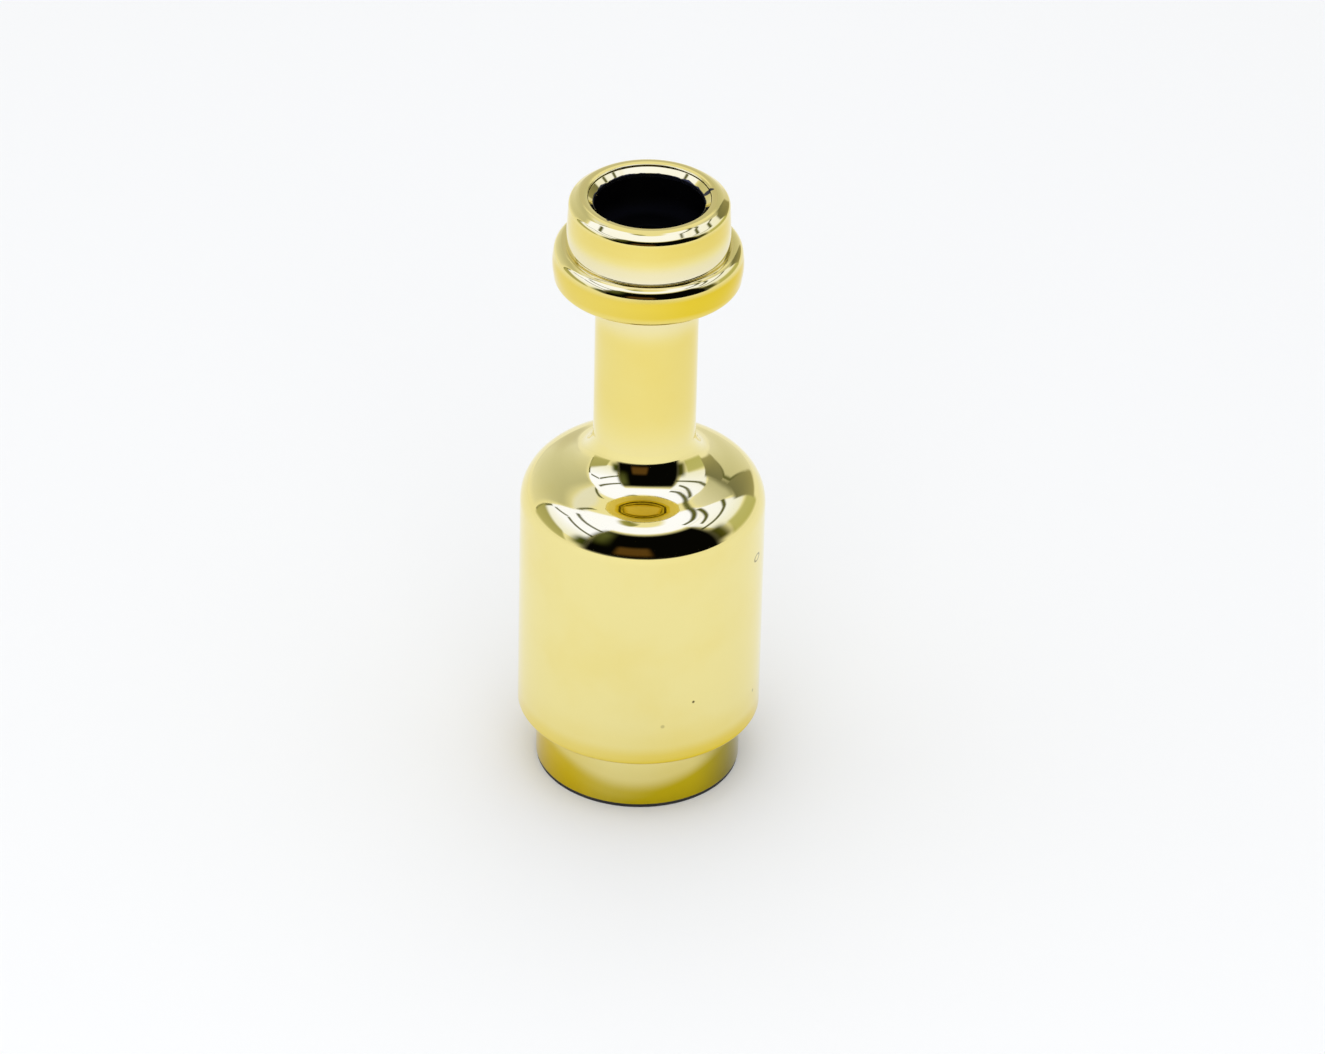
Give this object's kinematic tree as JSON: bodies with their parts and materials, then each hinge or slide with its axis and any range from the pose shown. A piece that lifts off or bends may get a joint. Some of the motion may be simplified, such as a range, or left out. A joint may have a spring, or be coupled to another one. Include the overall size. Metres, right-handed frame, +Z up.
{
  "type": "brass instrument mouthpiece",
  "caption": "Gold-plated modular mouthpiece: a rounded rim and collar on a slim neck, a waisted heavy barrel and a narrow foot with a socket, all screwed together on one axis.",
  "frame": {"origin": "centre of the underside, on the surface that the mouthpiece stands on", "axes": "+Z up the turning axis, from the foot to the playing rim"},
  "size_m": [0.037, 0.037, 0.0995],
  "materials": {
    "gold_plated_brass": "gold plated, mirror polished",
    "black_acetal": "fine-turned black acetal",
    "rubber": "moulded black nitrile",
    "ivory_nylon": "turned natural nylon",
    "spring_steel": "blackened spring steel"
  },
  "bodies": {
    "base": {"base_ring": "gold_plated_brass", "foot_ring": "rubber", "receiver_bush": "ivory_nylon", "receiver_seal": "rubber", "retaining_clip": "spring_steel"},
    "base_seal": {"base_seal": "rubber"},
    "body": {"body_shell": "gold_plated_brass", "backbore_tube": "gold_plated_brass", "tube_seal": "rubber"},
    "neck_seal": {"neck_seal": "rubber"},
    "neck": {"neck_tube": "gold_plated_brass"},
    "cup_seal": {"cup_seal": "rubber"},
    "cup": {"cup_housing": "gold_plated_brass", "cup_insert": "black_acetal"},
    "rim_seal": {"rim_seal": "rubber"},
    "rim": {"rim": "gold_plated_brass"}
  },
  "joints": [
    {"name": "body_lift", "type": "slide", "parent": "base", "child": "base_seal", "axis": [0, 0, 1], "range_m": [0, 0.0075]},
    {"name": "body_turn", "type": "hinge", "parent": "base_seal", "child": "body", "pos_m": [0, 0, 0.01], "axis": [0, 0, 1], "range_deg": [0, 1800]},
    {"name": "neck_lift", "type": "slide", "parent": "body", "child": "neck_seal", "axis": [0, 0, 1], "range_m": [0, 0.006]},
    {"name": "neck_turn", "type": "hinge", "parent": "neck_seal", "child": "neck", "pos_m": [0, 0, 0.05869], "axis": [0, 0, 1], "range_deg": [0, 2160]},
    {"name": "cup_lift", "type": "slide", "parent": "neck", "child": "cup_seal", "axis": [0, 0, 1], "range_m": [0, 0.0025]},
    {"name": "cup_turn", "type": "hinge", "parent": "cup_seal", "child": "cup", "pos_m": [0, 0, 0.08529], "axis": [0, 0, 1], "range_deg": [0, 900]},
    {"name": "rim_lift", "type": "slide", "parent": "cup", "child": "rim_seal", "axis": [0, 0, 1], "range_m": [0, 0.0035]},
    {"name": "rim_turn", "type": "hinge", "parent": "rim_seal", "child": "rim", "pos_m": [0, 0, 0.09139], "axis": [0, 0, 1], "range_deg": [0, 1260]}
  ],
  "couplings": [
    {"joint": "body_turn", "follows": "body_lift", "rad_per_m": 4188.8},
    {"joint": "neck_turn", "follows": "neck_lift", "rad_per_m": 6283.2},
    {"joint": "cup_turn", "follows": "cup_lift", "rad_per_m": 6283.2},
    {"joint": "rim_turn", "follows": "rim_lift", "rad_per_m": 6283.2}
  ]
}
